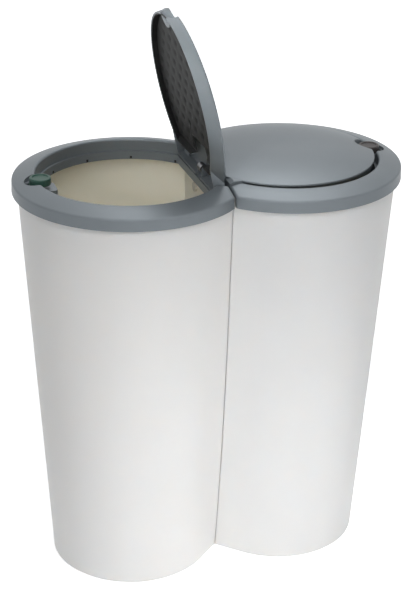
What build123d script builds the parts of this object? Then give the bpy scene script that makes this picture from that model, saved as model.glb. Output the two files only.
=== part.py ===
"""Double recycling bin: two D-shaped touch-top bins standing flat side to flat side.

Millimetres. +Z is up, X runs from the left bin to the right bin and -Y is the front.
The origin is on the floor, midway between the two bins.
Each bin is drawn once at +X and mirrored for the left; the left lid is then swung open.
"""
from build123d import *
import math
import os

# ---- where the two bins stand ----
bin_pitch = 210.4           # distance between the two bin axes
rim_half_gap = 1.1          # rim's flat side to the centre plane
lid_half_gap = 1.2          # lid's hinge end to the centre plane

# ---- bucket ----
bucket_height = 536.0
bucket_base_r = 108.0
bucket_wall = 2.4
bucket_floor = 3.0
flat_x = 0.4                # bucket's flat side to the centre plane
side_turn_top = 129.45        # where the straight sides leave the arc, in degrees, at the top
side_turn_base = 134.32
side_bulge = 9.3            # turn lost at half height, in degrees, as the sides bow outwards
bucket_steps = 8            # sections that follow the bow
corner_r = 2.0
inner_corner_r = 1.2
base_bevel = 2.5
saddle_drop = 4.6           # how far the flat side is cut down under the hinge
corner_room = 2.7           # rim's cut-out beyond the bucket's corners
saddle_room = 1.1           # beyond the cheeks, at each side

# ---- rim: radii from its outer face inwards, heights from the bucket's top edge ----
rim_r = 148.9
rim_overhang = 6.4          # outer face beyond the bucket
band_draft = 0.5            # outer band's upper edge inside its lower edge
crease_round = 3.0
top_width = 29.5            # sloping top, from the band to the mouth
mouth_round = 3.0
wall_draft = 0.2            # from the mouth's wall down to the ledge
ledge_width = 3.1
throat_draft = 0.6
band_drop = 11.2            # lower edge of the outer band
crease_rise = 3.7
mouth_rise = 11.9
inner_slope = 9.0           # fall of the sloping top, at the mouth and at the crease
outer_slope = 20.0
ledge_drop = 4.4
throat_drop = 15.5
rim_wall = 2.4
rim_edge_r = 3.2            # rounding of the rim along its flat side
seat_clearance = 0.35       # rim's plug inside the bucket
plug_depth = 5.5
plug_wall = 2.5

# ---- hinge ----
hinge_x = 11.6
hinge_rise = 8.6            # above the bucket's top edge
pin_r = 1.25
pin_run = 0.06              # running clearance, radial
pin_seat = 0.02             # press clearance, radial
tab_in = 25.26              # lid's hinge end inside the rim's corner, at each side
tab_side_gap = 1.1
cheek_wall = 2.6
sill_x = 18.0               # inner edge of the bar that closes the rim under the hinge
sill_wall = 2.2
sill_clearance = 0.8        # bar to the bucket's flat side
spring_y = -8.0
spring_len = 14.0
coil_r = 5.5
wire_r = 0.7
coil_to_spool = 0.3
leg_len = 17.0
lug_wall = 2.0
lug_r = 3.4
lug_gap = 0.4
open_angle = 78.0
swing_gap = 0.5             # turning hinge end to the centre plane

# ---- lid ----
lid_side_gap = 1.7          # lid's edge inside the rim's mouth
lid_shift = 4.0             # top edge's centre, towards the centre plane
lid_rise = 14.5             # top edge above the bucket's top edge
lid_round = 0.9
lid_edge_t = 1.7
lid_lip = 0.4               # top edge beyond the skirt
edge_walls = 2.5            # walls between the hollow's cap and the lid's edge
cap_gap = 0.3               # hollow's skirt below its cap
lid_depth = 14.1            # top edge to free edge
skirt_taper = 11.9          # free edge inside the top edge
tip_taper = 3.4             # the same at the outer end, where the skirt is nearly upright
lid_low_shift = 0.5
dome_h = 11.5
lid_wall = 2.2
tab_taper = 1.7             # narrowing of the hinge end's sides, down to the free edge
tab_nose_drop = 3.4
tab_nose_run = 5.0
tab_reach = 38.0
liner_gap = 0.2
liner_wall = 1.3
liner_panel_drop = 4.1      # lid's top edge to the underside of the liner's panel
liner_depth = 13.3
liner_start_x = 25.0
liner_notch_x = 48.0        # end of the way cut into the liner for the spring's leg
liner_notch_front = 32.0    # from the spring's middle, towards the front and the back
liner_notch_back = 21.0

# ---- button and its recess ----
button_in = 3.9             # button's middle inside the rim's mouth
button_r = 13.5
button_sink = 0.3           # button's top below the lid's top edge
button_t = 8.6
button_dish_r = 10.6
button_dish = 1.3
recess_in = 2.9             # recess's middle inside the rim's mouth
recess_r = 20.0
recess_low_r = 18.6
recess_depth = 7.3
lid_recess_top_r = 20.7
recess_wall = 1.8
latch_gap = 0.6             # button to the lid's tongue
well_floor = 2.2
rocker_out = 11.0           # button's pin beyond the button's middle
rocker_drop = 17.0          # button's pin below the recess's floor
rocker_r = 4.0
rocker_half = 4.0
stem_t = 6.0
stem_half = 6.0
stem_travel = 3.0
rocker_lug_gap = 4.2
housing_depth = 19.5        # housing's inner face to the throat
housing_half = 15.0
housing_drop = 4.6          # housing's top below the recess's floor
housing_height = 25.0
housing_wall = 2.0
housing_corner_r = 5.0

# ---- joint between the two buckets ----
bolt_y = 45.0
bolt_drop = 38.0            # below the bucket's top edge
bolt_r = 3.0
bolt_hole_r = 3.3
boss_r = 9.0
boss_half_gap = 0.15
head_r = 6.5
head_t = 3.2
nut_af = 11.0
nut_t = 4.5
bolt_tail = 2.0
seat_gap = 0.1

cx = bin_pitch / 2
far = 400.0
bucket_top_r = rim_r - rim_overhang
crease_r = rim_r - band_draft
mouth_r = crease_r - top_width
step_r = mouth_r - wall_draft
ledge_r = step_r - ledge_width
throat_r = ledge_r - throat_draft
band_z = bucket_height - band_drop
crease_z = bucket_height + crease_rise
mouth_z = bucket_height + mouth_rise
ledge_z = bucket_height - ledge_drop
throat_z = bucket_height - throat_drop
hinge_z = bucket_height + hinge_rise
rim_half = math.sqrt(rim_r ** 2 - (cx - rim_half_gap) ** 2)
tab_half = rim_half - tab_in
lid_r = mouth_r - lid_side_gap
lid_z = bucket_height + lid_rise
lid_low_r = lid_r - skirt_taper
lid_low_tip = lid_r - tip_taper
lid_low_z = lid_z - lid_depth
lid_edge_z = lid_z - lid_edge_t
liner_panel_z = lid_z - liner_panel_drop
liner_edge_z = lid_z - liner_depth
button_at = mouth_r - button_in
button_top_z = lid_z - button_sink
button_low_z = button_top_z - button_t
recess_at = mouth_r - recess_in
recess_z = mouth_z - recess_depth
lid_recess_top_z = lid_z + dome_h
rocker_at = button_at + rocker_out
rocker_z = recess_z - rocker_drop
housing_at = throat_r - housing_depth
housing_top_z = recess_z - housing_drop
housing_low_z = housing_top_z - housing_height
cheek_y0 = tab_half + tab_side_gap
cheek_y1 = cheek_y0 + cheek_wall
bolt_z = bucket_height - bolt_drop


def spun(outline):
    """A face of (radius, height) turned about the bin's axis."""
    return Pos(cx, 0, 0) * revolve(Plane.XZ * outline, axis=Axis.Z)


def turned(points):
    """A closed outline of (radius, height) turned about the bin's axis."""
    return spun(make_face(Polyline(*points, close=True)))


def block(x0, x1, y0, y1, z0, z1):
    """A box between two corners."""
    return Pos((x0 + x1) / 2, (y0 + y1) / 2, (z0 + z1) / 2) * Box(x1 - x0, y1 - y0, z1 - z0)


def rod_y(x, z, y0, y1, r):
    """A round bar along Y."""
    return Pos(x, (y0 + y1) / 2, z) * Rot(90, 0, 0) * Cylinder(r, y1 - y0)


def rod_x(y, z, x0, x1, r):
    """A round bar along X."""
    return Pos((x0 + x1) / 2, y, z) * Rot(0, 90, 0) * Cylinder(r, x1 - x0)


def taper(x, z0, r0, z1, r1):
    """A round taper about a vertical line at x."""
    return Pos(x, 0, (z0 + z1) / 2) * Cone(r0, r1, z1 - z0)


def rod_z(x, z0, z1, r):
    """A round bar along Z."""
    return Pos(x, 0, (z0 + z1) / 2) * Cylinder(r, z1 - z0)


def beyond(x):
    """Everything on the bin's own side of a plane at x."""
    return block(x, x + 2 * far, -far, far, -far, 3 * far)


def along(z, low, high):
    """A bucket size at height z, between its value at the floor and at the top."""
    return low + (high - low) * z / bucket_height


# ---- bucket ----
def side_turn(z):
    """Angle at which the straight sides leave the arc at height z."""
    share = z / bucket_height
    return math.radians(along(z, side_turn_base, side_turn_top)
                        - side_bulge * 4 * share * (1 - share))


def flat_half(z, inset):
    """Half the width of the bucket's flat side at height z, to the unrounded corner."""
    turn = side_turn(z)
    r = along(z, bucket_base_r, bucket_top_r) - inset
    return (r + (cx - flat_x - inset) * math.cos(turn)) / math.sin(turn)


def bucket_wire(z, inset, corner):
    """D outline at height z: an arc, two tangents, two rounded corners and the flat side."""
    turn = side_turn(z)
    r = along(z, bucket_base_r, bucket_top_r) - inset
    flat = flat_x + inset
    half = flat_half(z, inset)
    touch = Vector(cx + r * math.cos(turn), r * math.sin(turn), z)
    tip = Vector(flat, half, z)
    arrive = (tip - touch).normalized()
    leave = Vector(0, -1, 0)
    setback = corner * math.tan(math.radians(arrive.get_angle(leave)) / 2)
    start = tip - arrive * setback
    end = tip + leave * setback
    hub = start + Vector(-arrive.Y, arrive.X, 0) * corner
    middle = hub + ((start - hub) + (end - hub)).normalized() * corner

    def low(p):
        return Vector(p.X, -p.Y, p.Z)

    edges = [ThreePointArc(low(touch), Vector(cx + r, 0, z), touch), Line(touch, start),
             ThreePointArc(start, middle, end), Line(end, low(end)),
             ThreePointArc(low(end), low(middle), low(start)), Line(low(start), low(touch))]
    return make_face(Wire(edges))


def make_bucket():
    levels = [bucket_height * i / bucket_steps for i in range(1, bucket_steps)]
    outer = loft([bucket_wire(0, base_bevel, corner_r)]
                 + [bucket_wire(z, 0, corner_r) for z in [base_bevel] + levels + [bucket_height]],
                 ruled=True)
    inner = loft([bucket_wire(z, bucket_wall, inner_corner_r)
                  for z in [bucket_floor] + levels + [bucket_height + 1]], ruled=True)
    for y in (-bolt_y, bolt_y):
        outer += rod_x(y, bolt_z, boss_half_gap, flat_x + bucket_wall / 2, boss_r)
    shell = outer - inner
    for y in (-bolt_y, bolt_y):
        shell -= rod_x(y, bolt_z, -1, 4 * bucket_wall, bolt_hole_r)
    saddle_z = bucket_height - saddle_drop
    half = cheek_y1 + saddle_room
    return shell - block(-1, sill_x, -half, half, saddle_z, bucket_height + 1)


# ---- rim ----
def top_z(r):
    """Height of the rim's sloping top at a radius, along its chord."""
    return crease_z + (crease_r - r) * (mouth_z - crease_z) / (crease_r - mouth_r)


def rim_top():
    """Sloping top of the rim, from the mouth to the crease."""
    fall = [math.radians(inner_slope), math.radians(outer_slope)]
    return Spline((mouth_r, mouth_z), (crease_r, crease_z),
                  tangents=[(math.cos(a), -math.sin(a)) for a in fall])


def rim_section():
    """Rim's outline: throat, ledge, mouth, sloping top and outer band."""
    rest = Polyline((crease_r, crease_z), (rim_r, band_z), (rim_r - rim_wall, band_z),
                    (throat_r + rim_wall, throat_z), (throat_r, throat_z), (ledge_r, ledge_z),
                    (step_r, ledge_z), (mouth_r, mouth_z))
    section = make_face(Wire([rim_top()] + rest.edges()))
    for point, rounding in (((mouth_r, mouth_z), mouth_round), ((crease_r, crease_z), crease_round)):
        section = fillet(section.vertices().sort_by_distance(point)[0], rounding)
    return section


def rim_cover():
    """The rim's outer form closed over its mouth, with its flat side's edges rounded."""
    rest = Polyline((crease_r, crease_z), (rim_r, band_z), (rim_r, throat_z), (0, throat_z),
                    (0, mouth_z), (mouth_r, mouth_z))
    section = make_face(Wire([rim_top()] + rest.edges()))
    section = fillet(section.vertices().sort_by_distance((crease_r, crease_z))[0], crease_round)
    cover = spun(section) & beyond(rim_half_gap)
    side = cover.faces().sort_by(Axis.X)[0]
    return fillet([e for e in side.edges() if e.center().Z > throat_z + 1], rim_edge_r)


rim_hollow = [(throat_r + rim_wall, throat_z - 2), (throat_r + rim_wall, ledge_z - rim_wall),
              (step_r + rim_wall, ledge_z - rim_wall), (mouth_r + rim_wall, mouth_z - mouth_round),
              (mouth_r + mouth_round, mouth_z - rim_wall),
              (rim_r - rim_wall, top_z(rim_r - rim_wall) - rim_wall),
              (rim_r - rim_wall, throat_z - 2)]
sill_x0 = flat_x + bucket_wall + sill_clearance
# the bar stays clear of the lid's lower corner as it turns
sill_z = hinge_z - math.hypot(hinge_x - lid_half_gap, hinge_z - lid_low_z) - swing_gap
seat_inner_r = along(bucket_height - plug_depth, bucket_base_r, bucket_top_r)
plug_r = seat_inner_r - bucket_wall - seat_clearance
button_x = cx + button_at
recess_x = cx + recess_at
rocker_x = cx + rocker_at
spool_r = coil_r - 2 * wire_r - coil_to_spool
spring_y0 = spring_y - spring_len / 2
spring_y1 = spring_y + spring_len / 2
button_hole_r = button_r + latch_gap
rocker_lug_y = rocker_half + rocker_lug_gap


def make_rim():
    outer = spun(rim_section()) & rim_cover()
    rim = outer - (turned(rim_hollow) & beyond(rim_half_gap + rim_wall))
    # seat on the bucket's top edge, with a plug inside it
    inner_r = plug_r - plug_wall
    rim += turned([(inner_r, bucket_height - plug_depth), (plug_r, bucket_height - plug_depth),
                   (plug_r, bucket_height), (bucket_top_r, bucket_height),
                   (bucket_top_r, top_z(bucket_top_r) - rim_wall / 2),
                   (inner_r, top_z(inner_r) - rim_wall / 2)]) & beyond(rim_half_gap + rim_wall)
    # room for the bucket's flat side, and the way through for the lid's hinge end
    top_edge = flat_half(bucket_height, 0) + corner_room
    rim -= block(-1, sill_x0, -top_edge, top_edge, throat_z - 3, bucket_height + 0.3)
    rim -= block(-1, sill_x, -cheek_y0, cheek_y0, throat_z - 3, mouth_z + 5)
    for s in (-1, 1):
        y0, y1 = sorted((s * cheek_y0, s * cheek_y1))
        rim += block(rim_half_gap, sill_x, y0, y1, bucket_height + 0.3, mouth_z + 1) & outer
        rim += block(sill_x0, sill_x, y0, y1, throat_z, bucket_height + 0.4)
    # bar under the hinge, open below
    rim += block(sill_x0, sill_x, -cheek_y1, cheek_y1, throat_z, sill_z)
    rim -= block(sill_x0 + sill_wall, sill_x - sill_wall, -cheek_y1 + sill_wall,
                 cheek_y1 - sill_wall, throat_z - 1, sill_z - sill_wall)
    # bores for the two hinge pins, and lugs for the spring's axle
    for s in (-1, 1):
        y0, y1 = sorted((s * (cheek_y0 - 1), s * (cheek_y1 - 0.2)))
        rim -= rod_y(hinge_x, hinge_z, y0, y1, pin_r + pin_seat)
    for y in (spring_y0 - lug_gap - lug_wall, spring_y1 + lug_gap):
        rim += block(hinge_x - lug_r, hinge_x + lug_r, y, y + lug_wall, sill_z - 1, hinge_z)
        rim += rod_y(hinge_x, hinge_z, y, y + lug_wall, lug_r)
    rim -= rod_y(hinge_x, hinge_z, spring_y0 - 9, spring_y1 + 9, pin_r + pin_seat)
    return rim


def make_recess(rim):
    """Button recess in the rim, the housing under it and the two lugs of the button's pin."""
    pad = rod_z(recess_x, recess_z - well_floor, mouth_z + 1, recess_r + rim_wall)
    pad = pad & spun(rim_section()) & beyond(cx + mouth_r + 0.5)
    rim += pad & turned([(step_r, recess_z - well_floor), (step_r, far * 2), (2 * rim_r, far * 2),
                         (2 * rim_r, recess_z - well_floor)])
    rim -= taper(recess_x, recess_z, recess_low_r, mouth_z + 4, recess_r + 0.6)
    # housing: a box with rounded corners that stands in from the throat
    depth = throat_r + rim_wall - housing_at
    body = block(cx + housing_at, cx + housing_at + depth, -housing_half, housing_half,
                 housing_low_z, housing_top_z)
    corners = body.edges().filter_by(Axis.Z).sort_by(Axis.X)[0:2]
    body = fillet(corners, housing_corner_r)
    inner = housing_half - housing_wall
    room = block(cx + housing_at + housing_wall, cx + step_r + 1, -inner, inner,
                 housing_low_z - 1, housing_top_z - housing_wall)
    rim += body
    rim -= room
    # stem's way through the recess floor
    rim -= block(cx + step_r - 9, cx + rocker_at + stem_t / 2 + stem_travel + 1.2,
                 -stem_half - 1.2, stem_half + 1.2, housing_top_z - 1, mouth_z + 5)
    # lugs that carry the button's pin, hanging from the recess floor
    for s in (-1, 1):
        y0, y1 = sorted((s * rocker_lug_y, s * (rocker_lug_y + lug_wall)))
        rim += block(rocker_x - rocker_r, rocker_x + rocker_r, y0, y1, rocker_z,
                     recess_z - well_floor / 2)
        rim += rod_y(rocker_x, rocker_z, y0, y1, rocker_r)
    reach = rocker_lug_y + lug_wall + 1
    return rim - rod_y(rocker_x, rocker_z, -reach, reach, pin_r + pin_seat)


# ---- lid ----
def lid_skirt(inset, z0, z1):
    """Tapered skirt between two heights, with its wall drawn in by inset."""
    outlines = []
    for z in (z0, z1):
        t = (z - lid_low_z) / (lid_edge_z - lid_low_z)
        r = lid_low_r + (lid_r - lid_low_r) * t - inset
        tip = lid_low_tip + (lid_r - lid_low_tip) * t - inset
        middle = (cx - lid_low_shift - (lid_shift - lid_low_shift) * t, 0, z)
        outlines.append(make_face(Wire([
            EllipticalCenterArc(middle, tip, r, start_angle=-90, arc_size=180),
            CenterArc(middle, r, 90, 180)])))
    return loft(outlines, ruled=True)


def lid_dome(drop):
    """Cap whose height falls with the cube of the distance from the middle."""
    r_edge = lid_r - edge_walls * drop
    points = []
    for i in range(9):
        t = i / 8
        points.append((r_edge * t, lid_z - drop + dome_h * (1 - t ** 3)))
    low = lid_z - drop - lid_edge_t
    rest = Polyline(points[8], (r_edge, low), (r_edge - 4 * lid_edge_t, low - lid_edge_t),
                    (0, low - lid_edge_t), points[0])
    section = make_face(Wire([Spline(*points)] + rest.edges()))
    if drop == 0:
        section = fillet(section.vertices().sort_by_distance(points[8])[0], lid_round)
    return Pos(-lid_shift, 0, 0) * spun(section)


def lid_tab(inset, x0):
    """Hinge end: a bar across the lid that narrows downwards, with its nose cut back."""
    top = lid_z - inset
    low = lid_low_z - (1.0 if inset else 0.0)
    low_half = tab_half - tab_taper
    section = make_face(Plane.YZ * Polyline((-tab_half + inset, top), (tab_half - inset, top),
                                            (low_half - inset, low), (-low_half + inset, low),
                                            close=True))
    bar = Pos(x0, 0, 0) * extrude(section, tab_reach - x0, dir=(1, 0, 0))
    if not inset:
        bar = fillet(bar.edges().filter_by(Axis.X).group_by(Axis.Z)[-1], lid_round)
    nose = make_face(Plane.XZ * Polyline((x0 - 1, top - tab_nose_drop), (x0, top - tab_nose_drop),
                                         (x0 + tab_nose_run, top), (x0 + tab_nose_run, top + 1),
                                         (x0 - 1, top + 1), close=True))
    return bar - extrude(nose, far, both=True)


def lid_form(inset, x0):
    """The lid's whole form, drawn in by inset from its outer face."""
    low = lid_low_z - (1.0 if inset else 0.0)
    top = min(lid_edge_z, lid_z - inset - cap_gap)
    form = lid_skirt(inset + lid_lip, low, top) + lid_dome(inset)
    form += lid_tab(inset, x0)
    # the hinge end is round about the pin, and flat where it stands upright when open,
    # so that it turns clear of the other lid
    reach = hinge_x - swing_gap - inset

    def around(degrees):
        a = math.radians(degrees)
        return (hinge_x + reach * math.cos(a), hinge_z + reach * math.sin(a))

    start, tip = around(180), around(180 - open_angle)
    rise = far / math.tan(math.radians(180 - open_angle))
    rest = Polyline(tip, (tip[0] + far, tip[1] - rise), (tip[0] + far, 0), (start[0], 0), start)
    arc = ThreePointArc(start, around(180 - open_angle / 2), tip)
    clear = make_face(Plane.XZ * Wire([arc] + rest.edges()))
    return form & extrude(clear, far, both=True) & beyond(x0)


def recess_in_lid(grow):
    return taper(recess_x, recess_z - grow, recess_low_r + grow, lid_recess_top_z,
                 lid_recess_top_r + grow)


def make_lid():
    hollow = lid_form(lid_wall, lid_half_gap + lid_wall)
    # the recess keeps a floor and a wall of its own under it
    hollow -= recess_in_lid(recess_wall)
    lid = lid_form(0, lid_half_gap) - hollow
    lid -= recess_in_lid(0)
    # clear of the button, so that the lid swings with the button at rest
    lid -= rod_z(button_x, lid_low_z - 1, lid_z + dome_h, button_hole_r)
    for s in (-1, 1):
        y0, y1 = sorted((s * (tab_half - 8), s * (tab_half + 1)))
        lid -= rod_y(hinge_x, hinge_z, y0, y1, pin_r + pin_run)
    # way through the hinge end for the lugs of the spring's axle
    lug_room = lug_gap + lug_wall + 1.2
    return lid - block(0, lid_half_gap + lid_wall + 1, spring_y0 - lug_room,
                       spring_y1 + lug_room, lid_low_z - 1, hinge_z + 3)


def make_liner():
    """Dark inner pan: a flat panel with a wall that follows the inside of the skirt."""
    gap = lid_wall + lid_lip + liner_gap
    top = liner_panel_z + liner_wall
    pan = lid_skirt(gap, liner_edge_z, top) & beyond(liner_start_x)
    room = lid_skirt(gap + liner_wall, liner_edge_z - 1, liner_panel_z)
    pan -= room & beyond(liner_start_x + liner_wall)
    pan -= block(0, liner_notch_x, spring_y - liner_notch_front, spring_y + liner_notch_back,
                 liner_edge_z - 1, top + 1)
    return pan - recess_in_lid(recess_wall + liner_gap)


def make_torsion_spring():
    y0, y1 = spring_y0, spring_y1
    coil = rod_y(hinge_x, hinge_z, y0, y1, coil_r)
    coil -= rod_y(hinge_x, hinge_z, y0 - 1, y1 + 1, coil_r - 2 * wire_r)
    leg = rod_x(y0 + wire_r, hinge_z + coil_r - wire_r, hinge_x, hinge_x + leg_len, wire_r)
    return coil + leg


def make_spring_axle():
    reach = lug_gap + lug_wall
    axle = rod_y(hinge_x, hinge_z, spring_y0, spring_y1, spool_r)
    return axle + rod_y(hinge_x, hinge_z, spring_y0 - reach, spring_y1 + reach, pin_r)


def make_hinge_pins():
    pins = []
    for s in (-1, 1):
        y0, y1 = sorted((s * (tab_half - 4.5), s * (cheek_y1 - 0.3)))
        pins.append(rod_y(hinge_x, hinge_z, y0, y1, pin_r))
    return Compound(children=pins)


# ---- button ----
def make_button():
    cap = rod_z(button_x, button_low_z, button_top_z, button_r)
    cap = fillet(cap.edges().group_by(Axis.Z)[-1], 1.4)
    cap -= taper(button_x, button_top_z - button_dish, button_dish_r - 1, button_top_z + 0.01,
                 button_dish_r)
    stem = block(rocker_x - stem_t / 2, rocker_x + stem_t / 2, -rocker_half, rocker_half,
                 rocker_z, button_low_z + 1)
    lever = cap + stem
    lever += rod_y(rocker_x, rocker_z, -rocker_half, rocker_half, rocker_r)
    return lever - rod_y(rocker_x, rocker_z, -far, far, pin_r + pin_run)


def make_button_pin():
    reach = rocker_lug_y + lug_wall
    return rod_y(rocker_x, rocker_z, -reach, reach, pin_r)


def make_button_spring():
    y0 = rocker_half + 0.3
    y1 = rocker_lug_y - 0.3
    outer = pin_r + 0.3 + 2 * wire_r
    coil = rod_y(rocker_x, rocker_z, y0, y1, outer) - rod_y(rocker_x, rocker_z, 0, far,
                                                            pin_r + 0.3)
    reach = cx + throat_r + rim_wall + 1.0
    return coil + rod_x(y1 - wire_r, rocker_z - outer + wire_r, reach, rocker_x, wire_r)


# ---- fastening between the buckets ----
def make_bolts():
    seat = flat_x + bucket_wall + seat_gap
    bolts = []
    for y in (-bolt_y, bolt_y):
        bolt = rod_x(y, bolt_z, -seat - head_t, -seat, head_r)
        bolts.append(bolt + rod_x(y, bolt_z, -seat - 0.5, seat + nut_t + bolt_tail, bolt_r))
    return Compound(children=bolts)


def make_nuts():
    seat = flat_x + bucket_wall + seat_gap
    nuts = []
    for y in (-bolt_y, bolt_y):
        hexagon = Plane.YZ * RegularPolygon(nut_af / math.sqrt(3), 6)
        nut = Pos(seat, y, bolt_z) * extrude(hexagon, nut_t)
        nuts.append(nut - rod_x(y, bolt_z, seat - 1, seat + nut_t + 1, bolt_r + pin_seat))
    return Compound(children=nuts)


def left(shape):
    return mirror(shape, about=Plane.YZ)


def swung(shape):
    """A left lid piece, opened about the hinge."""
    line = Axis((-hinge_x, 0, hinge_z), (0, 1, 0))
    return left(shape).rotate(line, open_angle)


def write(name, shape):
    if isinstance(shape, Compound) and len(shape.solids()) == 1:
        shape = shape.solids()[0]
    shape.label = name
    export_step(shape, os.path.join("parts", name + ".step"))


os.makedirs("parts", exist_ok=True)
standing = {"bucket": make_bucket(), "rim": make_recess(make_rim()),
            "hinge_pins": make_hinge_pins(), "spring_axle": make_spring_axle(),
            "button": make_button(), "button_pin": make_button_pin(),
            "button_spring": make_button_spring()}
swinging = {"lid": make_lid(), "lid_liner": make_liner(),
            "torsion_spring": make_torsion_spring()}
for piece, shape in standing.items():
    write("right_" + piece, shape)
    write("left_" + piece, left(shape))
for piece, shape in swinging.items():
    write("right_" + piece, shape)
    write("left_" + piece, swung(shape))
write("joining_bolts", make_bolts())
write("joining_nuts", make_nuts())
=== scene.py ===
import math

import bpy
import numpy as np
from mathutils import Matrix


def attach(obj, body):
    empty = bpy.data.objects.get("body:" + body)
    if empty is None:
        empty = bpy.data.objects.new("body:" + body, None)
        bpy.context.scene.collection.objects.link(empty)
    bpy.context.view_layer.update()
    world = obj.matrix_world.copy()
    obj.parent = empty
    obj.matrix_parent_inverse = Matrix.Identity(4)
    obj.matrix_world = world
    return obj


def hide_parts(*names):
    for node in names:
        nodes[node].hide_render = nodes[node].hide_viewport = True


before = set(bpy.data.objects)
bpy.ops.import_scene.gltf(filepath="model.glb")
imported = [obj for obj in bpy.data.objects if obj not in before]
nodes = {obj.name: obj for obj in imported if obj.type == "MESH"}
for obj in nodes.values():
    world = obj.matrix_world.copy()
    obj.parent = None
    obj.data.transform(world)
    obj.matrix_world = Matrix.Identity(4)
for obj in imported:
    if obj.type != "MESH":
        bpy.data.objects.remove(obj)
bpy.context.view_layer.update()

# the eye is a little left of the middle and looks down on the two bins; angles in radians,
# the lens for a film as high as the picture
cameraSpot = {"place": (-0.6336, -1.9169, 1.2907), "yaw": 0.3188, "pitch": 0.4346,
              "roll": 0.0144, "lens": 100.8, "film": 36.0, "seesTo": 100}


def setCamera():
    yaw, pitch, roll = cameraSpot["yaw"], cameraSpot["pitch"], cameraSpot["roll"]
    ahead = np.array([math.sin(yaw) * math.cos(pitch), math.cos(yaw) * math.cos(pitch),
                      -math.sin(pitch)])
    level = np.array([math.cos(yaw), -math.sin(yaw), 0.0])
    upright = np.cross(level, ahead)
    turn = np.eye(4)
    turn[:3, 0] = level * math.cos(roll) + upright * math.sin(roll)
    turn[:3, 1] = upright * math.cos(roll) - level * math.sin(roll)
    turn[:3, 2] = -ahead
    turn[:3, 3] = cameraSpot["place"]
    data = bpy.data.cameras.new("camera")
    data.lens = cameraSpot["lens"]
    data.sensor_fit = "VERTICAL"
    data.sensor_height = cameraSpot["film"]
    data.clip_end = cameraSpot["seesTo"]
    camera = bpy.data.objects.new("camera", data)
    bpy.context.scene.collection.objects.link(camera)
    camera.matrix_world = Matrix(turn.tolist())
    bpy.context.scene.camera = camera


# the sky is a soft dome, brighter near the horizon; the eye and reflections see plain white
studio = {"horizon": (0.34, 0.33, 0.32), "shoulder": (0.25, 0.255, 0.26),
          "zenith": (0.22, 0.235, 0.25), "shoulderAt": 0.35}


def addNode(tree, kind, **values):
    node = tree.nodes.new(kind)
    for name, value in values.items():
        if hasattr(node, name):
            setattr(node, name, value)
        else:
            node.inputs[name].default_value = value
    return node


def whiteToEye(tree):
    # 1 for what the eye, a reflection or a see-through piece meets, 0 for light on a surface
    path = addNode(tree, "ShaderNodeLightPath")
    either = addNode(tree, "ShaderNodeMath", operation="MAXIMUM")
    anyRay = addNode(tree, "ShaderNodeMath", operation="MAXIMUM")
    tree.links.new(path.outputs["Is Camera Ray"], either.inputs[0])
    tree.links.new(path.outputs["Is Glossy Ray"], either.inputs[1])
    tree.links.new(either.outputs[0], anyRay.inputs[0])
    tree.links.new(path.outputs["Is Transmission Ray"], anyRay.inputs[1])
    return anyRay.outputs[0]


def setSky():
    world = bpy.data.worlds.new("studio")
    bpy.context.scene.world = world
    world.use_nodes = True
    tree = world.node_tree
    tree.nodes.clear()
    link = tree.links.new
    direction = addNode(tree, "ShaderNodeTexCoord")
    split = addNode(tree, "ShaderNodeSeparateXYZ")
    ramp = addNode(tree, "ShaderNodeValToRGB")
    stops = ramp.color_ramp.elements
    middle = stops.new(studio["shoulderAt"])
    for stop, tint in ((stops[0], studio["horizon"]), (middle, studio["shoulder"]),
                       (stops[2], studio["zenith"])):
        stop.color = (*tint, 1)
    glow = addNode(tree, "ShaderNodeBackground")
    plain = addNode(tree, "ShaderNodeBackground", Color=(1, 1, 1, 1))
    pick = addNode(tree, "ShaderNodeMixShader")
    out = addNode(tree, "ShaderNodeOutputWorld")
    link(direction.outputs["Generated"], split.inputs[0])
    link(split.outputs["Z"], ramp.inputs[0])
    link(ramp.outputs[0], glow.inputs["Color"])
    link(whiteToEye(tree), pick.inputs[0])
    link(glow.outputs[0], pick.inputs[1])
    link(plain.outputs[0], pick.inputs[2])
    link(pick.outputs[0], out.inputs[0])


# pale paper; to the eye it is lifted to white, less round the object, where the shadow stays
floorPaper = {"reach": 30.0, "grey": 0.9, "roughness": 0.9, "nearLift": 0.62, "farLift": 0.85,
              "liftFrom": 0.6, "liftTo": 1.8}


def makeFloor():
    reach = floorPaper["reach"]
    mesh = bpy.data.meshes.new("floor")
    mesh.from_pydata([(-reach, -reach, 0), (reach, -reach, 0), (reach, reach, 0),
                      (-reach, reach, 0)], [], [(0, 1, 2, 3)])
    floor = bpy.data.objects.new("floor", mesh)
    bpy.context.scene.collection.objects.link(floor)
    paper = bpy.data.materials.new("floorPaper")
    paper.use_nodes = True
    tree = paper.node_tree
    shader = tree.nodes["Principled BSDF"]
    shader.inputs["Base Color"].default_value = (*[floorPaper["grey"]] * 3, 1)
    shader.inputs["Roughness"].default_value = floorPaper["roughness"]
    shader.inputs["Specular IOR Level"].default_value = 0.0
    shader.inputs["Emission Color"].default_value = (1, 1, 1, 1)
    # the white grows with the distance from the object
    spot = addNode(tree, "ShaderNodeTexCoord")
    away = addNode(tree, "ShaderNodeVectorMath", operation="LENGTH")
    grow = addNode(tree, "ShaderNodeMapRange")
    for socket, value in (("From Min", "liftFrom"), ("From Max", "liftTo"),
                          ("To Min", "nearLift"), ("To Max", "farLift")):
        grow.inputs[socket].default_value = floorPaper[value]
    lift = addNode(tree, "ShaderNodeMath", operation="MULTIPLY")
    tree.links.new(spot.outputs["Object"], away.inputs[0])
    tree.links.new(away.outputs["Value"], grow.inputs["Value"])
    tree.links.new(whiteToEye(tree), lift.inputs[0])
    tree.links.new(grow.outputs[0], lift.inputs[1])
    tree.links.new(lift.outputs[0], shader.inputs["Emission Strength"])
    mesh.materials.append(paper)


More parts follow.
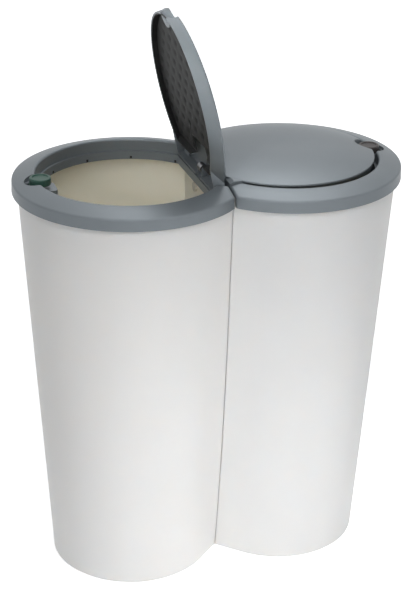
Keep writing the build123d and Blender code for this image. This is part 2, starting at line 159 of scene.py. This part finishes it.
# a broad lamp above the left front gives the form, one overhead the tops, low ones fill from
# the front and the right, one lights the floor before the bins, a small one the open lid, and
# one behind and above gives the sheen on the rims' fronts
lamps = {"key": {"place": (-0.8, -1.8, 2.2), "aim": (0, 0, 0.4), "size": 1.5, "power": 15.0,
                 "spread": 180},
         "above": {"place": (0.1, -0.7, 2.5), "aim": (0, 0, 0.5), "size": 1.2, "power": 6.0,
                   "spread": 180},
         "front": {"place": (0.0, -2.4, 0.35), "aim": (0, 0, 0.2), "size": 1.5, "power": 2.0,
                   "spread": 180},
         "side": {"place": (2.2, -1.2, 0.6), "aim": (0, 0, 0.2), "size": 1.4, "power": 1.2,
                  "spread": 180},
         "apron": {"place": (0.0, -1.0, 1.0), "aim": (0, -0.6, 0), "size": 0.5, "power": 3.0,
                   "spread": 75},
         "openLid": {"place": (-1.2, -1.6, 1.3), "aim": (0.02, 0, 0.86), "size": 0.3,
                     "power": 0.62, "spread": 18},
         "sheen": {"place": (0.48, 1.05, 2.5), "aim": (0, 0, 0.55), "size": 1.2, "power": 17.0,
                   "spread": 180}}


def setLamps():
    for name, lamp in lamps.items():
        data = bpy.data.lights.new(name, "AREA")
        data.shape = "DISK"
        data.size = lamp["size"]
        data.energy = lamp["power"]
        data.spread = math.radians(lamp["spread"])
        light = bpy.data.objects.new(name, data)
        bpy.context.scene.collection.objects.link(light)
        place = np.array(lamp["place"])
        away = place - np.array(lamp["aim"])
        away /= np.linalg.norm(away)
        side = np.cross([0, 0, 1.0], away)
        side /= np.linalg.norm(side)
        turn = np.eye(4)
        turn[:3, 0], turn[:3, 1], turn[:3, 2] = side, np.cross(away, side), away
        turn[:3, 3] = place
        light.matrix_world = Matrix(turn.tolist())


setCamera()
setSky()
makeFloor()
setLamps()
bpy.context.scene.view_settings.view_transform = "Standard"
print("camera, floor and light are set")


# what the finishes share: the slow drift of tone with its two stops, the grain's detail, how
# far it moves the roughness to either side, how far each colour travels in milky plastic, and
# the shine of a finish that gives none
moulding = {"drift": 9.0, "driftDetail": 3.0, "darkAt": 0.35, "lightAt": 0.65,
            "grainDetail": 4.0, "grainRough": 0.6, "glossSpread": 0.05,
            "milkTravel": (1.0, 0.9, 0.8), "shine": 0.5}


def moulded(name, finish):
    # moulded plastic: a slow drift of tone, and a fine grain in the bump and the roughness
    material = bpy.data.materials.new(name)
    material.use_nodes = True
    tree = material.node_tree
    link = tree.links.new
    shader = tree.nodes["Principled BSDF"]
    shader.inputs["Metallic"].default_value = finish.get("metal", 0.0)
    shader.inputs["Specular IOR Level"].default_value = finish.get("shine", moulding["shine"])
    if "milk" in finish:
        shader.inputs["Subsurface Weight"].default_value = finish["milk"]
        shader.inputs["Subsurface Radius"].default_value = moulding["milkTravel"]
        shader.inputs["Subsurface Scale"].default_value = finish["milkDepth"]
    place = addNode(tree, "ShaderNodeTexCoord")
    drift = addNode(tree, "ShaderNodeTexNoise", Scale=moulding["drift"],
                    Detail=moulding["driftDetail"])
    tone = addNode(tree, "ShaderNodeValToRGB")
    stops = tone.color_ramp.elements
    for stop, spot, share in ((stops[0], moulding["darkAt"], 1 - finish["shift"]),
                              (stops[1], moulding["lightAt"], 1 + finish["shift"])):
        stop.position = spot
        stop.color = (*[min(1.0, c * share) for c in finish["colour"]], 1)
    fine = addNode(tree, "ShaderNodeTexNoise", Scale=finish["grain"],
                   Detail=moulding["grainDetail"], Roughness=moulding["grainRough"])
    gloss = addNode(tree, "ShaderNodeMapRange")
    gloss.inputs["To Min"].default_value = finish["roughness"] - moulding["glossSpread"]
    gloss.inputs["To Max"].default_value = finish["roughness"] + moulding["glossSpread"]
    bump = addNode(tree, "ShaderNodeBump", Strength=1.0, Distance=finish["depth"])
    link(place.outputs["Object"], drift.inputs["Vector"])
    link(place.outputs["Object"], fine.inputs["Vector"])
    link(drift.outputs[0], tone.inputs[0])
    link(tone.outputs[0], shader.inputs["Base Color"])
    link(fine.outputs[0], gloss.inputs[0])
    link(gloss.outputs[0], shader.inputs["Roughness"])
    link(fine.outputs[0], bump.inputs["Height"])
    link(bump.outputs[0], shader.inputs["Normal"])
    return material


finishes = {
    "bucketPlastic": {"colour": (0.80, 0.785, 0.765), "roughness": 0.42, "grain": 900.0,
                      "depth": 0.00003, "shift": 0.008, "milk": 0.8, "milkDepth": 0.006},
    "rimPlastic": {"colour": (0.188, 0.210, 0.226), "roughness": 0.4, "grain": 1100.0,
                   "depth": 0.00006, "shift": 0.04, "shine": 0.12, "metal": 0.3},
    "linerPlastic": {"colour": (0.040, 0.041, 0.041), "roughness": 0.6, "grain": 700.0,
                     "depth": 0.00006, "shift": 0.12, "shine": 0.06},
    # painted shade: near black for the shadowed mouths of the clips' slots
    "slotPaintedShade": {"colour": (0.02, 0.021, 0.022), "roughness": 0.6, "grain": 700.0,
                 "depth": 0.00003, "shift": 0.1, "shine": 0.2},
    "greenPlastic": {"colour": (0.035, 0.088, 0.068), "roughness": 0.4, "grain": 900.0,
                     "depth": 0.00003, "shift": 0.05, "shine": 0.25},
    "greyPlastic": {"colour": (0.056, 0.050, 0.049), "roughness": 0.4, "grain": 900.0,
                    "depth": 0.00003, "shift": 0.05, "shine": 0.2},
    "brightSteel": {"colour": (0.6, 0.6, 0.6), "roughness": 0.25, "grain": 600.0,
                    "depth": 0.00002, "shift": 0.05, "metal": 1.0},
    "springWire": {"colour": (0.16, 0.16, 0.165), "roughness": 0.3, "grain": 600.0,
                   "depth": 0.00002, "shift": 0.08, "metal": 1.0},
    "nylon": {"colour": (0.62, 0.58, 0.50), "roughness": 0.45, "grain": 700.0,
              "depth": 0.00004, "shift": 0.02}}
made = {name: moulded(name, finish) for name, finish in finishes.items()}


# the bucket's inside is painted a brighter, warmer beige: painted light for the warm glow of
# light passing through and bouncing inside the milky walls; axis is the bin's middle line from
# the centre plane, and rise lets faces that look up, such as the bin's floor, count as inside
insideGlowPainted = {"axis": 0.1052, "rise": 0.5, "colour": (0.97, 0.895, 0.755)}


def paintInsideGlow(material):
    # inside is where the dot product of the normal and the level unit spoke from the bin's
    # axis, less the rise times the normal's upward part, comes out below nothing
    tree = material.node_tree
    link = tree.links.new
    shader = tree.nodes["Principled BSDF"]
    outside = shader.inputs["Base Color"].links[0].from_socket
    where = addNode(tree, "ShaderNodeTexCoord")
    facing = addNode(tree, "ShaderNodeNewGeometry")
    split = addNode(tree, "ShaderNodeSeparateXYZ")
    side = addNode(tree, "ShaderNodeMath", operation="SIGN")
    axis = addNode(tree, "ShaderNodeMath", operation="MULTIPLY")
    axis.inputs[1].default_value = insideGlowPainted["axis"]
    spot = addNode(tree, "ShaderNodeCombineXYZ")
    spoke = addNode(tree, "ShaderNodeVectorMath", operation="SUBTRACT")
    flat = addNode(tree, "ShaderNodeVectorMath", operation="MULTIPLY")
    flat.inputs[1].default_value = (1, 1, 0)
    unit = addNode(tree, "ShaderNodeVectorMath", operation="NORMALIZE")
    tilt = addNode(tree, "ShaderNodeVectorMath", operation="ADD")
    tilt.inputs[1].default_value = (0, 0, -insideGlowPainted["rise"])
    out = addNode(tree, "ShaderNodeVectorMath", operation="DOT_PRODUCT")
    inner = addNode(tree, "ShaderNodeMath", operation="LESS_THAN")
    inner.inputs[1].default_value = 0.0
    mix = addNode(tree, "ShaderNodeMix", data_type="RGBA")
    link(where.outputs["Object"], split.inputs[0])
    link(split.outputs["X"], side.inputs[0])
    link(side.outputs[0], axis.inputs[0])
    link(axis.outputs[0], spot.inputs["X"])
    link(where.outputs["Object"], spoke.inputs[0])
    link(spot.outputs[0], spoke.inputs[1])
    link(spoke.outputs[0], flat.inputs[0])
    link(flat.outputs[0], unit.inputs[0])
    link(unit.outputs[0], tilt.inputs[0])
    link(facing.outputs["True Normal"], out.inputs[0])
    link(tilt.outputs[0], out.inputs[1])
    link(out.outputs["Value"], inner.inputs[0])
    link(inner.outputs[0], mix.inputs["Factor"])
    link(outside, mix.inputs[6])
    # painted light: the warm glow inside the bin takes the place of the bucket's own tone on
    # inward faces
    mix.inputs[7].default_value = (*insideGlowPainted["colour"], 1)
    link(mix.outputs[2], shader.inputs["Base Color"])


paintInsideGlow(made["bucketPlastic"])


def dress(node, material):
    mesh = nodes[node].data
    mesh.materials.clear()
    mesh.materials.append(material)


worn = {"bucket": "bucketPlastic", "rim": "rimPlastic", "lid": "rimPlastic",
        "lid_liner": "linerPlastic", "hinge_pins": "brightSteel", "spring_axle": "brightSteel",
        "torsion_spring": "springWire", "button_pin": "brightSteel",
        "button_spring": "brightSteel"}
for side in ("left", "right"):
    for piece, finish in worn.items():
        dress(f"{side}_{piece}", made[finish])
dress("left_button", made["greenPlastic"])
dress("right_button", made["greyPlastic"])
dress("joining_bolts", made["nylon"])
dress("joining_nuts", made["nylon"])
print("the carried-over pieces are dressed")


sharpFrom = math.radians(50)  # edges of the new pieces that turn more stay crisp


def closedForm(name, rings, material, body, instead=()):
    # rings is stations x around x 3: neighbouring rings are joined by four-sided faces, each
    # ring closes on itself, and the first and last are filled; turned over where the sum of
    # a . (b x c) over the triangles, six times the signed volume, comes out below nothing
    stations, around = rings.shape[:2]
    step, turn = np.meshgrid(np.arange(stations - 1), np.arange(around), indexing="ij")
    after = (turn + 1) % around
    quads = np.stack([step * around + turn, step * around + after, (step + 1) * around + after,
                      (step + 1) * around + turn], axis=-1).reshape(-1, 4)
    caps = np.stack([np.arange(around)[::-1], (stations - 1) * around + np.arange(around)])
    points = rings.reshape(-1, 3)
    corners = points[quads]
    middles = points[caps].mean(axis=1)
    capArea = np.cross(points[caps], points[np.roll(caps, -1, axis=1)]).sum(axis=1)
    volume = (np.einsum("ij,ij->", corners[:, 0], np.cross(corners[:, 1], corners[:, 2]))
              + np.einsum("ij,ij->", corners[:, 0], np.cross(corners[:, 2], corners[:, 3]))
              + np.einsum("ij,ij->", middles, capArea))
    if volume < 0:
        quads, caps = quads[:, ::-1], caps[:, ::-1]
    loops = np.concatenate([quads.ravel(), caps.ravel()]).astype(np.int32)
    starts = np.concatenate([np.arange(len(quads)) * 4,
                             len(quads) * 4 + np.arange(2) * around]).astype(np.int32)
    mesh = bpy.data.meshes.new(name)
    mesh.vertices.add(len(points))
    mesh.vertices.foreach_set("co", points.ravel().astype(np.float32))
    mesh.loops.add(len(loops))
    mesh.loops.foreach_set("vertex_index", loops)
    mesh.polygons.add(len(starts))
    mesh.polygons.foreach_set("loop_start", starts)
    mesh.polygons.foreach_set("use_smooth", np.ones(len(starts), dtype=bool))
    mesh.update(calc_edges=True)
    mesh.validate()
    mesh.set_sharp_from_angle(angle=sharpFrom)
    mesh.materials.append(material)
    piece = bpy.data.objects.new(name, mesh)
    bpy.context.scene.collection.objects.link(piece)
    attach(piece, body)
    if instead:
        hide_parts(*instead)


# the pin's line from the centre plane and the floor, and how far the left lid stands open
hinge = {"across": 0.0116, "height": 0.5446, "openBy": math.radians(78.0)}


def lidSpace(side, along, y, up):
    # along the lid from its pin, front to back, and up from the pin, for the lid as it stands
    # here: the left one is mirrored and turned open by its angle, the right one lies shut
    if side == "right":
        x, z = hinge["across"] + along, hinge["height"] + up
    else:
        c, s = math.cos(hinge["openBy"]), math.sin(hinge["openBy"])
        x = -hinge["across"] - along * c + up * s
        z = hinge["height"] + along * s + up * c
    return np.stack([x, y + 0 * x, z], axis=-1)


# the liner's panel, in millimetres: a plate on its underside, pressed into pads between rows
# of dimples; middle, reach and breadth are its half oval about the bin's middle, trim cuts its
# ends off square, and flank is the width over which its side runs into the notch
panel = {"middle": 90.28, "breadth": 108.9, "reach": 110.5, "start": 17.6, "notchEnd": 39.0,
         "notchFront": -42.0, "notchBack": 15.0, "buttonAt": 209.6, "buttonRoom": 24.4,
         "face": 1.9, "stands": 1.7, "roll": 1.6, "pitchAcross": 26.0, "pitchAlong": 16.0,
         "firstAlong": 102.5, "firstAcross": -1.0, "dimpleAcross": 5.2, "dimpleAlong": 4.0,
         "dimpleDeep": 1.45, "dimpleBell": 1.3, "crown": 0.35, "border": 2.5, "fade": 5.0,
         "under": 0.4, "trim": 0.7, "flank": 1.5, "endsCloser": 0.4, "edgesCloser": 0.15,
         "columns": 260, "rows": 176}


def panelRings(side):
    p = panel
    # stations run from front to back, a little closer together towards both ends; at each one
    # the plate goes from its hinge end to its far end, both found from the outline
    v = np.linspace(-1, 1, p["columns"])
    closer = p["endsCloser"]
    y = (p["breadth"] - p["trim"]) * ((1 - closer) * v + closer * np.sin(v * math.pi / 2))
    half = np.sqrt(p["breadth"] ** 2 - y ** 2)
    near = np.maximum(p["start"], p["middle"] - half)
    inNotch = (np.clip((y - p["notchFront"]) / p["flank"] + 0.5, 0, 1)
               * np.clip((p["notchBack"] - y) / p["flank"] + 0.5, 0, 1))
    near = near + (p["notchEnd"] - near) * inNotch
    far = p["middle"] + half * p["reach"] / p["breadth"]
    button = p["buttonAt"] - np.sqrt(np.maximum(p["buttonRoom"] ** 2 - y ** 2, 0))
    far = np.where(np.abs(y) < p["buttonRoom"], np.minimum(far, button), far)
    u = np.linspace(0, 1, p["rows"])
    closer = p["edgesCloser"]
    u = (1 - closer) * u + closer * (1 - np.cos(u * math.pi)) / 2
    along = near[:, None] + (far - near)[:, None] * u
    across = y[:, None] + 0 * along
    # distance to the nearest edge: half oval, hinge end, notch, button's room
    squeeze = np.where(along > p["middle"], p["breadth"] / p["reach"], 1.0)
    edge = p["breadth"] - np.hypot((along - p["middle"]) * squeeze, across)
    edge = np.minimum(edge, along - p["start"])
    notch = np.maximum(along - p["notchEnd"],
                       np.maximum(p["notchFront"] - across, across - p["notchBack"]))
    edge = np.minimum(edge, notch)
    edge = np.minimum(edge, np.hypot(along - p["buttonAt"], across) - p["buttonRoom"])
    edge = np.clip(edge, 0, None)
    # height of the plate: a quarter round at its edge, a low crown that peaks between the
    # dimples (the product of two cosines), and a bell-shaped dimple at each crossing, where
    # every second row is shifted by half a step
    share = np.clip(edge / p["roll"], 0, 1)
    rise = p["stands"] * np.sqrt(share * (2 - share))
    rowAt = (along - p["firstAlong"]) / p["pitchAlong"]
    row = np.round(rowAt)
    pressed = 0 * along
    for step in (-1, 0, 1):
        r = row + step
        shift = np.mod(r, 2) * 0.5
        spot = (across - p["firstAcross"]) / p["pitchAcross"] - shift
        offAcross = (spot - np.round(spot)) * p["pitchAcross"] / p["dimpleAcross"]
        offAlong = (rowAt - r) * p["pitchAlong"] / p["dimpleAlong"]
        pressed = pressed + np.exp(-(offAcross ** 2 + offAlong ** 2) ** p["dimpleBell"])
    wave = (np.cos(2 * math.pi * (across - p["firstAcross"]) / p["pitchAcross"])
            * np.cos(math.pi * rowAt))
    held = np.clip((edge - p["border"]) / p["fade"], 0, 1)
    rise = rise - held * (p["dimpleDeep"] * pressed + p["crown"] * (1 + wave) / 2)
    up = p["face"] - rise
    back = np.stack([far, near], axis=-1)
    along = np.concatenate([along, back], axis=1)
    up = np.concatenate([up, np.full_like(back, p["face"] + p["under"])], axis=1)
    return lidSpace(side, along / 1000, (y[:, None] + 0 * along) / 1000, up / 1000)


for side in ("left", "right"):
    closedForm(side + "LinerPanel", panelRings(side), made["linerPlastic"], body=side + "_lid")
print("the liners' pressed panels are made")


# the hinge's spring, in millimetres: a close coil on the axle, and a leg that leaves the top
# of the last turn straight and then lies across into the lid; bend is the share of its way
# across that it holds back at the start, and bendSoon how soon
coil = {"radius": 4.8, "wire": 0.7, "turns": 8, "back": -1.7, "front": -14.3, "legAlong": 25.0,
        "legAcross": -16.5, "bend": 0.25, "bendSoon": 6.0, "perTurn": 40, "legSteps": 26,
        "round": 12}


def sweptWire(path, radius, sides):
    # a circle carried along the path, in the frame of its tangent and the front-to-back axis
    ahead = np.gradient(path, axis=0)
    ahead /= np.linalg.norm(ahead, axis=1, keepdims=True)
    level = np.array([0, 1.0, 0]) - ahead * ahead[:, 1:2]
    level /= np.linalg.norm(level, axis=1, keepdims=True)
    other = np.cross(ahead, level)
    a = np.linspace(0, 2 * math.pi, sides, endpoint=False)
    return (path[:, None, :] + radius * (np.cos(a)[None, :, None] * level[:, None, :]
                                         + np.sin(a)[None, :, None] * other[:, None, :]))


def springPath():
    # turn angle a: along = r sin a, up = r cos a, with the coil advancing evenly from back to
    # front; on the leg, with s from 0 to 1, the way across is (1 + bend) s less
    # bend (1 - exp(-bendSoon s)), and never below nothing
    c = coil
    a = np.linspace(0, 2 * math.pi * c["turns"], c["turns"] * c["perTurn"])
    y = c["back"] + (c["front"] - c["back"]) * a / a[-1]
    turns = np.stack([c["radius"] * np.sin(a), y, c["radius"] * np.cos(a)], axis=-1)
    s = np.linspace(0, 1, c["legSteps"] + 1)[1:]
    across = s * (1 + c["bend"]) - c["bend"] * (1 - np.exp(-c["bendSoon"] * s))
    leg = np.stack([c["legAlong"] * s, c["front"] + c["legAcross"] * np.clip(across, 0, None),
                    c["radius"] + 0 * s], axis=-1)
    return np.concatenate([turns, leg])


for side in ("left", "right"):
    wire = sweptWire(springPath(), coil["wire"], coil["round"]) / 1000
    closedForm(side + "HingeSpring", lidSpace(side, wire[..., 0], wire[..., 1], wire[..., 2]),
               made["springWire"], side + "_lid", (side + "_torsion_spring",))
print("the hinge springs are wound")


# the clips' slots at the throat's lower edge, in millimetres and degrees from the bin's
# outward axis: short dark plates that follow the throat, painted shade standing in for the
# shadowed mouths of the slots
slots = {"axis": 105.2, "angles": (46.3, 76.5, 106.3, 137.0), "radius": 115.12, "low": 520.9,
         "high": 524.6, "wide": 2.8, "proud": 0.22, "deep": 0.5, "ease": 0.15, "steps": 9}


def slotRings(sign, turn):
    # a rectangle with two cut corners, in radius and height, carried along an arc of the throat
    s = slots
    arc = s["wide"] / s["radius"] * np.linspace(-0.5, 0.5, s["steps"]) + turn
    inner, outer = s["radius"] - s["proud"], s["radius"] + s["deep"]
    ease = s["ease"]
    r = np.array([outer, inner + ease, inner, inner, inner + ease, outer])
    z = np.array([s["low"], s["low"], s["low"] + ease, s["high"] - ease, s["high"], s["high"]])
    x = sign * (s["axis"] + r[None, :] * np.cos(arc)[:, None])
    y = r[None, :] * np.sin(arc)[:, None]
    return np.stack([x, y, z[None, :] + 0 * x], axis=-1) / 1000


for side, sign in (("left", -1), ("right", 1)):
    for number, degrees in enumerate(slots["angles"]):
        for end, way in (("Back", 1), ("Front", -1)):
            closedForm(f"{side}Slot{end}{number + 1}",
                       slotRings(sign, way * math.radians(degrees)), made["slotPaintedShade"],
                       body=side + "_rim")
print("the slots are marked")
